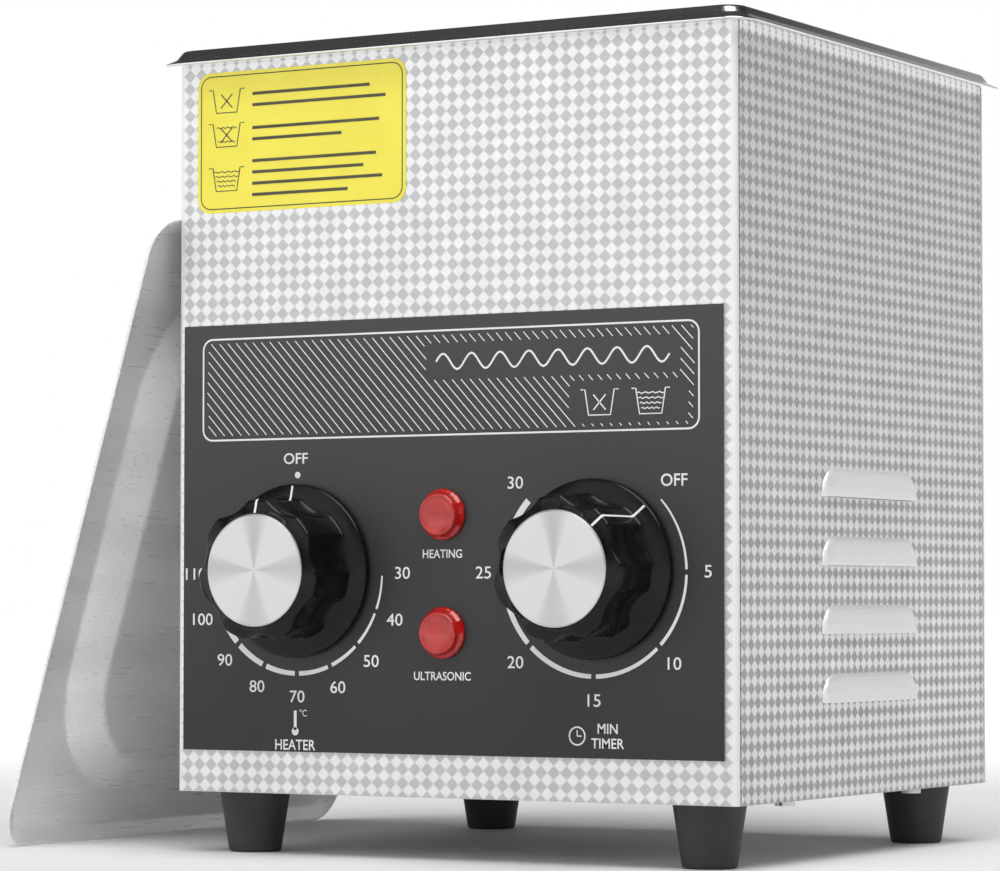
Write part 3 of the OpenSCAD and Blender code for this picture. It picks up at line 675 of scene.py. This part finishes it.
def tank_shape():
    """Rolled rim and drawn bowl as one smooth shell. Each ring is (width, depth, corner, height)."""
    w, d = 2 * HALF_W / MM, (REAR_Y - FRONT_Y) / MM
    top, tw, td, tr = BODY_TOP / MM, 151, 138, 17
    floor_z = rim_high.z / MM - 100
    rings = [(tw - 18, td - 18, 9, floor_z - 1)]
    for a in (20, 45, 70, 90):
        in_by = 9 * (1 - math.sin(math.radians(a)))
        rings.append((tw + 2 - 2 * in_by, td + 2 - 2 * in_by, 18 - in_by * 0.9,
                      floor_z - 1 + 9 * (1 - math.cos(math.radians(a)))))
    rings += [(tw + 2, td + 2, 18, top + 0.9), (tw + 6, td + 6, 19, top + 0.9)]
    for out, r, up in ((0.2, 5, -0.40), (4.6, 7.2, -0.48), (4.95, 7.3, -0.42), (5.17, 7.4, -0.2),
                       (5.19, 7.4, 0.1), (5.05, 7.35, 0.32), (4.75, 7.2, 0.48), (2.7, 5.8, 1.52),
                       (2.25, 5.5, 1.85), (1.95, 5.4, 2.35), (1.3, 5.2, 3.35), (1.05, 5.1, 3.75),
                       (0.7, 5, 4.03), (0.2, 5, 4.17), (-0.6, 5, 4.19)):
        rings.append((w + 2 * out, d + 2 * out, r, top + up))
    rings += [(tw + 6.6, td + 6.6, tr + 3.3, top + 4.19), (tw + 5.2, td + 5.2, tr + 2.6, top + 4.1),
              (tw + 4.0, td + 4.0, tr + 2.0, top + 3.6), (tw + 1.0, td + 1.0, tr + 0.5, top + 1.7),
              (tw + 0.3, td + 0.3, tr + 0.2, top + 0.9), (tw + 0.05, td + 0.05, tr, top - 0.6)]
    for a in (90, 75, 60, 45, 30, 15, 0):
        in_by = 8 * (1 - math.sin(math.radians(a)))
        rings.append((tw - 2 * in_by, td - 2 * in_by, tr - in_by * 0.9,
                      floor_z + 8 * (1 - math.cos(math.radians(a)))))
    return rings


def shell_piece(name, rings, where, material, body):
    """Closed shell through rounded rectangles, put in place by a matrix."""
    loops = [[where @ Vector((x * MM, y * MM, z * MM)) for x, y in rounded(w, d, r, CORNER_STEPS)]
             for w, d, r, z in rings]
    points, faces = loft(loops)
    obj = mesh_piece(name, points, faces, material, body, smooth=True)
    flatten_caps(obj)
    return obj


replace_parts(shell_piece("tank_and_rim", tank_shape(), Matrix.Translation(CASING), materials["tank_steel"],
                        "cleaner"), "tank")

# ---------------------------------------------------------------- lid
LID_L, LID_W, LID_LEAN, LID_GAP = 182, 170, 16.8, 0.35
WELL_L, WELL_W = 152, 140
LID_FROM_CASING_Y = -4 * MM


def lid_place():
    """Maps the lid as drawn flat, wall side up, to where it leans."""
    lean = math.radians(LID_LEAN)
    foot_x = CASING.x - HALF_W - LID_GAP * MM - LID_L * MM * math.sin(lean)
    return (Matrix.Translation((foot_x, CASING.y + LID_FROM_CASING_Y, 0.03 * MM))
            @ Matrix.Rotation(lean - math.pi / 2, 4, "Y") @ Matrix.Scale(-1, 4, (0, 0, 1))
            @ Matrix.Translation((LID_L * MM / 2, 0, 0)))


def lid_shape():
    """Flared lip, flat border, pressed well with a round boss; then the same from below."""
    def at(inset, corner, z):
        return (LID_L - 2 * inset, LID_W - 2 * inset, corner, z)

    def well(grow, corner, z):
        return (WELL_L + grow, WELL_W + grow, corner, z)

    def boss(r, z):
        """A round ring, with a short straight at each quarter so that no face has zero area."""
        return (2 * r, 2 * r, r - 0.5, z)

    under = [boss(34.5, 1.1), boss(36.2, 1.1), boss(36.8, 2.0), boss(38.2, 3.2), boss(39.2, 3.28),
             boss(41, 3.28), well(-21.5, 27.4, 3.28), well(-20.0, 28.0, 3.26), well(-17.8, 29.2, 2.85),
             well(-0.8, 37.4, -3.0), well(1.6, 38.6, -3.38), at(4.2, 7.6, -3.38),
             at(3.5, 7.6, -3.25), at(3.0, 7.9, -2.8)]
    over = [at(0.25, 10.3, -0.12), at(0.02, 10.5, 0.0), at(0.25, 10.3, 0.02), at(0.75, 9.9, -0.12),
            at(3.6, 7.9, -2.35), at(4.1, 7.7, -2.55), at(4.8, 7.4, -2.6), well(3.4, 39.4, -2.6),
            well(1.6, 38.8, -2.5), well(0.2, 38.0, -2.1), well(-16.6, 29.7, 3.5), well(-18.0, 29.0, 3.88),
            well(-19.6, 28.2, 4.06), well(-21, 27.6, 4.08), well(-22.5, 27.0, 4.08), boss(41, 4.08),
            boss(39.2, 4.08), boss(37.6, 3.9), boss(36.4, 3.3), boss(35.4, 3.12), boss(34.2, 3.1),
            boss(30, 3.1)]
    return under + over


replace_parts(shell_piece("lid_pressing", lid_shape(), lid_place(), materials["lid_steel"], "lid"),
            "lid_shell")


def tube_piece(name, path, radii, where, material, body):
    """Round bar along a flat path in the Y-Z plane, with a radius for each point."""
    sides = 28
    rings = []
    for i, (y, z) in enumerate(path):
        before, after = path[max(i - 1, 0)], path[min(i + 1, len(path) - 1)]
        run = Vector((0, after[0] - before[0], after[1] - before[1])).normalized()
        side = Vector((0, -run.z, run.y))
        rings.append([where @ ((Vector((0, y, z)) + Vector((1, 0, 0)) * radii[i] * math.cos(TAU * k / sides)
                                + side * radii[i] * math.sin(TAU * k / sides)) * MM) for k in range(sides)])
    points, faces = loft(rings)
    return mesh_piece(name, points, faces, material, body, smooth=True)


def lid_handle():
    """Bail handle with flared feet and round shoulders."""
    seat, top, reach, bend = 1.1, -18.9, 30, 9
    path, radii = [(-reach, seat - h) for h in (0.05, 0.5, 1.6, 4)], [5.0, 5.0, 4.5, 4.1]
    for a in range(0, 91, 15):
        t = math.radians(a)
        path.append((-reach + bend * (1 - math.cos(t)), top + bend - bend * math.sin(t)))
        radii.append(4.1 + 0.8 * a / 90)
    path += [(-y, z) for y, z in reversed(path)]
    radii += radii[::-1]
    return tube_piece("lid_bail", path, radii, lid_place(), materials["handle_plastic"],
                      "lid")


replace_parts(lid_handle(), "lid_handle")


# ---------------------------------------------------------------- stage, light and camera
def area_light(name, place_at, target, size, power):
    data = bpy.data.lights.new(name, "AREA")
    data.shape, data.size, data.size_y = "RECTANGLE", size[0], size[1]
    data.energy = power
    obj = bpy.data.objects.new(name, data)
    obj.location = place_at
    obj.rotation_euler = (Vector(target) - Vector(place_at)).to_track_quat("-Z", "Y").to_euler()
    bpy.context.scene.collection.objects.link(obj)


def floor():
    """A wide pale floor that brightens far out, so that its edge melts into the white."""
    size = 30
    mesh = bpy.data.meshes.new("floor")
    corners = [(-size, -size, 0), (size, -size, 0), (size, size, 0), (-size, size, 0)]
    mesh.from_pydata(corners, [], [(0, 1, 2, 3)])
    obj = bpy.data.objects.new("floor", mesh)
    bpy.context.scene.collection.objects.link(obj)
    m, tree, shader = new_material("floor")
    vector, (x, y, _) = place(tree)
    grain = noise(tree, vector, 90, 3.0)
    link(tree, blend_colours(tree, grain, grey(0.86), grey(0.89)), shader.inputs["Base Color"])
    shader.inputs["Roughness"].default_value = 0.75
    away = maths(tree, "SQRT", maths(tree, "ADD", maths(tree, "MULTIPLY", x, x),
                                     maths(tree, "MULTIPLY", y, y)))
    shader.inputs["Emission Color"].default_value = (1, 1, 1, 1)
    link(tree, ramp(tree, away, 0.35, 1.0, 0.0, 0.5), shader.inputs["Emission Strength"])
    mesh.materials.append(m)


floor()
area_light("key", (-0.5, -1.3, 0.95), (0, 0, 0.1), (1.1, 0.9), 3)
ceiling = bpy.data.lights.new("ceiling", "SUN")
ceiling.energy, ceiling.angle = 2.6, math.radians(50)
ceiling_lamp = bpy.data.objects.new("ceiling", ceiling)
ceiling_lamp.rotation_euler = Vector((-0.3, 0.3, -0.9)).to_track_quat("-Z", "Y").to_euler()
bpy.context.scene.collection.objects.link(ceiling_lamp)

world = bpy.context.scene.world or bpy.data.worlds.new("world")
bpy.context.scene.world = world
world.use_nodes = True
background = next(n for n in world.node_tree.nodes if n.type == "BACKGROUND")
sky = world.node_tree
direction = add(sky, "TexCoord")
split = add(sky, "SeparateXYZ")
link(sky, direction.outputs["Generated"], split.inputs[0])
to_right = ramp(sky, split.outputs[0], -0.1, 0.55, 1.0, 0.46)
overhead = ramp(sky, split.outputs[2], 0.22, 0.48, 1.0, 0.05)
link(sky, maths(sky, "MULTIPLY", to_right, overhead), background.inputs["Strength"])
background.inputs["Color"].default_value = (1, 1, 1, 1)
bpy.context.scene.view_settings.view_transform = "Standard"

CAMERA_FROM_CASING = (0.53358, -0.96126, 0.06748)
CAMERA_YAW, CAMERA_PITCH = -30.375, 2.507
SENSOR, LENS = 36, 140.25
yaw, pitch = math.radians(CAMERA_YAW), math.radians(CAMERA_PITCH)
forward = Vector((math.sin(yaw) * math.cos(pitch), math.cos(yaw) * math.cos(pitch), math.sin(pitch)))
camera_data = bpy.data.cameras.new("camera")
camera_data.lens, camera_data.sensor_width = LENS, SENSOR
camera = bpy.data.objects.new("camera", camera_data)
camera.location = CASING + Vector(CAMERA_FROM_CASING)
camera.rotation_euler = forward.to_track_quat("-Z", "Y").to_euler()
bpy.context.scene.collection.objects.link(camera)
bpy.context.scene.camera = camera
